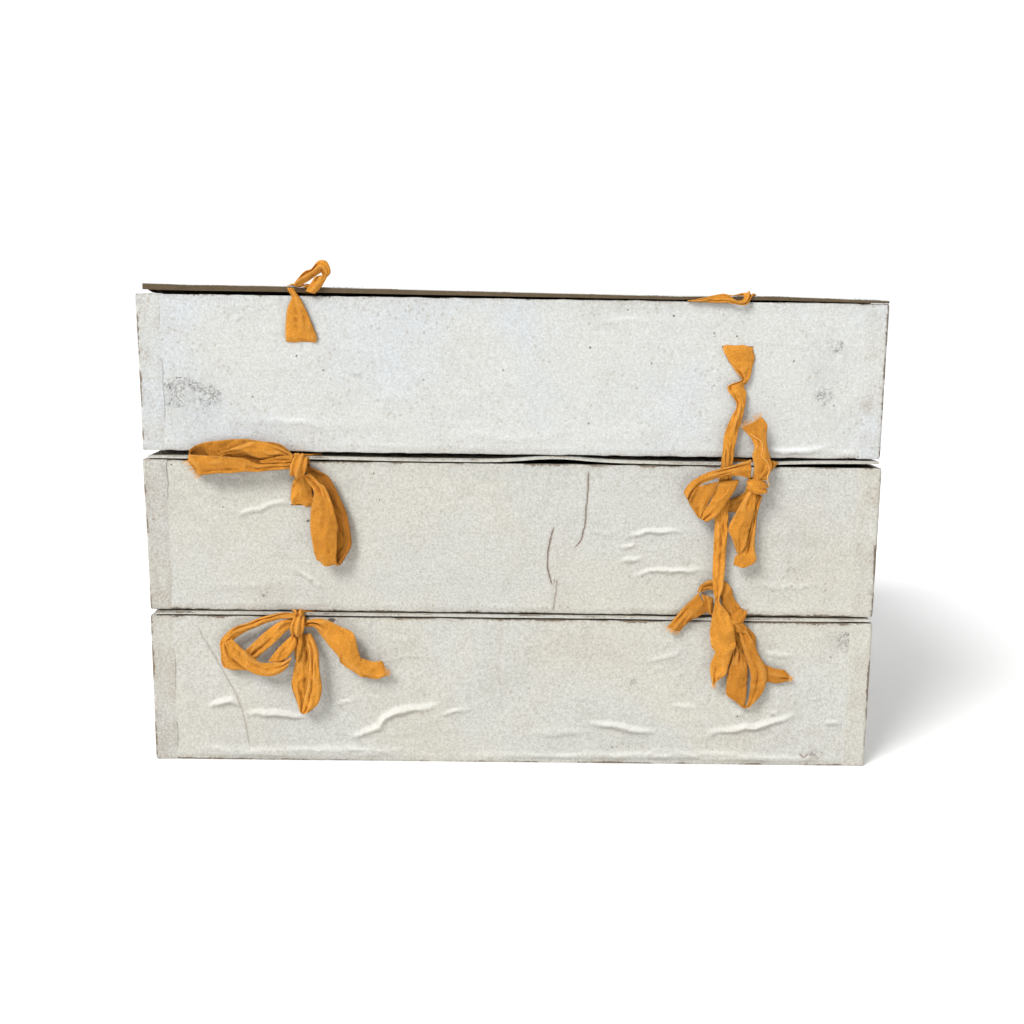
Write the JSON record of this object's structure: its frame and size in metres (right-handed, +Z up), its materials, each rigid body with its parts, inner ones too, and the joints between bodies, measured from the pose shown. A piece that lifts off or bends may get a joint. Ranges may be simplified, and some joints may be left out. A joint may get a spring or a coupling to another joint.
{
  "type": "archival box",
  "caption": "Stack of paper-covered board document boxes with hinged lids, tied shut at the front with woven cotton tapes.",
  "frame": {"origin": "middle of the lowest box's underside, on the surface that the stack rests on", "axes": "+Z up, -Y towards the front with the tape ties, +X to the right seen from the front"},
  "size_m": [0.5025, 0.373, 0.3454],
  "materials": {
    "cool_white_paper_on_board": "matt laid paper over board, scuffed",
    "warm_white_paper_on_board": "matt laid paper over board, creased and stained",
    "cool_white_paper": "matt",
    "warm_white_paper": "matt",
    "greyboard": "matt",
    "brown_lining_paper": "matt",
    "ochre_cotton_tape": "plain-woven cotton, soft"
  },
  "bodies": {
    "bottom_tray": {"bottom_base_board": "greyboard", "bottom_front_wall": "warm_white_paper_on_board", "bottom_rear_wall": "warm_white_paper_on_board", "bottom_left_wall": "warm_white_paper_on_board", "bottom_right_wall": "warm_white_paper_on_board", "bottom_floor_lining": "warm_white_paper", "bottom_front_left_corner_strip": "warm_white_paper", "bottom_front_right_corner_strip": "warm_white_paper", "bottom_rear_left_corner_strip": "warm_white_paper", "bottom_rear_right_corner_strip": "warm_white_paper", "bottom_hinge_strip": "warm_white_paper", "bottom_tape_patch": "warm_white_paper", "bottom_left_wall_tape": "ochre_cotton_tape", "bottom_right_wall_tape": "ochre_cotton_tape", "bottom_left_bow": "ochre_cotton_tape", "bottom_right_bow": "ochre_cotton_tape"},
    "middle_tray": {"middle_base_board": "greyboard", "middle_front_wall": "warm_white_paper_on_board", "middle_rear_wall": "warm_white_paper_on_board", "middle_left_wall": "warm_white_paper_on_board", "middle_right_wall": "warm_white_paper_on_board", "middle_floor_lining": "warm_white_paper", "middle_front_left_corner_strip": "warm_white_paper", "middle_front_right_corner_strip": "warm_white_paper", "middle_rear_left_corner_strip": "warm_white_paper", "middle_rear_right_corner_strip": "warm_white_paper", "middle_hinge_strip": "warm_white_paper", "middle_tape_patch": "warm_white_paper", "middle_left_wall_tape": "ochre_cotton_tape", "middle_right_wall_tape": "ochre_cotton_tape", "middle_left_bow": "ochre_cotton_tape", "middle_right_bow": "ochre_cotton_tape"},
    "top_tray": {"top_base_board": "greyboard", "top_front_wall": "cool_white_paper_on_board", "top_rear_wall": "cool_white_paper_on_board", "top_left_wall": "cool_white_paper_on_board", "top_right_wall": "cool_white_paper_on_board", "top_floor_lining": "cool_white_paper", "top_front_left_corner_strip": "cool_white_paper", "top_front_right_corner_strip": "cool_white_paper", "top_rear_left_corner_strip": "cool_white_paper", "top_rear_right_corner_strip": "cool_white_paper", "top_hinge_strip": "cool_white_paper", "top_tape_patch": "cool_white_paper", "top_left_wall_tape": "ochre_cotton_tape", "top_right_wall_tape": "ochre_cotton_tape"},
    "bottom_lid": {"bottom_lid_board": "warm_white_paper_on_board", "bottom_lid_lining": "brown_lining_paper", "bottom_left_lid_tape": "ochre_cotton_tape", "bottom_right_lid_tape": "ochre_cotton_tape"},
    "middle_lid": {"middle_lid_board": "warm_white_paper_on_board", "middle_lid_lining": "brown_lining_paper", "middle_left_lid_tape": "ochre_cotton_tape", "middle_right_lid_tape": "ochre_cotton_tape"},
    "top_lid": {"top_lid_board": "cool_white_paper_on_board", "top_lid_lining": "brown_lining_paper", "top_left_lid_tape": "ochre_cotton_tape", "top_right_lid_tape": "ochre_cotton_tape", "top_left_loop": "ochre_cotton_tape"}
  },
  "joints": [
    {"name": "middle_box_lift", "type": "slide", "parent": "bottom_tray", "child": "middle_tray", "axis": [0, 0, 1], "range_m": [0, 0.62]},
    {"name": "top_box_lift", "type": "slide", "parent": "middle_tray", "child": "top_tray", "axis": [0, 0, 1], "range_m": [0, 0.62]},
    {"name": "bottom_lid_hinge", "type": "hinge", "parent": "bottom_tray", "child": "bottom_lid", "pos_m": [0, 0.18, 0.104], "axis": [-1, 0, 0], "range_deg": [0, 95]},
    {"name": "middle_lid_hinge", "type": "hinge", "parent": "middle_tray", "child": "middle_lid", "pos_m": [-0.0006, 0.1794, 0.2128], "axis": [-1, 0, 0], "range_deg": [0, 95]},
    {"name": "top_lid_hinge", "type": "hinge", "parent": "top_tray", "child": "top_lid", "pos_m": [-0.0025, 0.1785, 0.3234], "axis": [-1, 0, 0], "range_deg": [0, 180]}
  ],
  "couplings": [
    {"joint": "bottom_lid_hinge", "follows": "middle_box_lift", "rad_per_m": 2.6667},
    {"joint": "middle_lid_hinge", "follows": "top_box_lift", "rad_per_m": 2.6667}
  ]
}
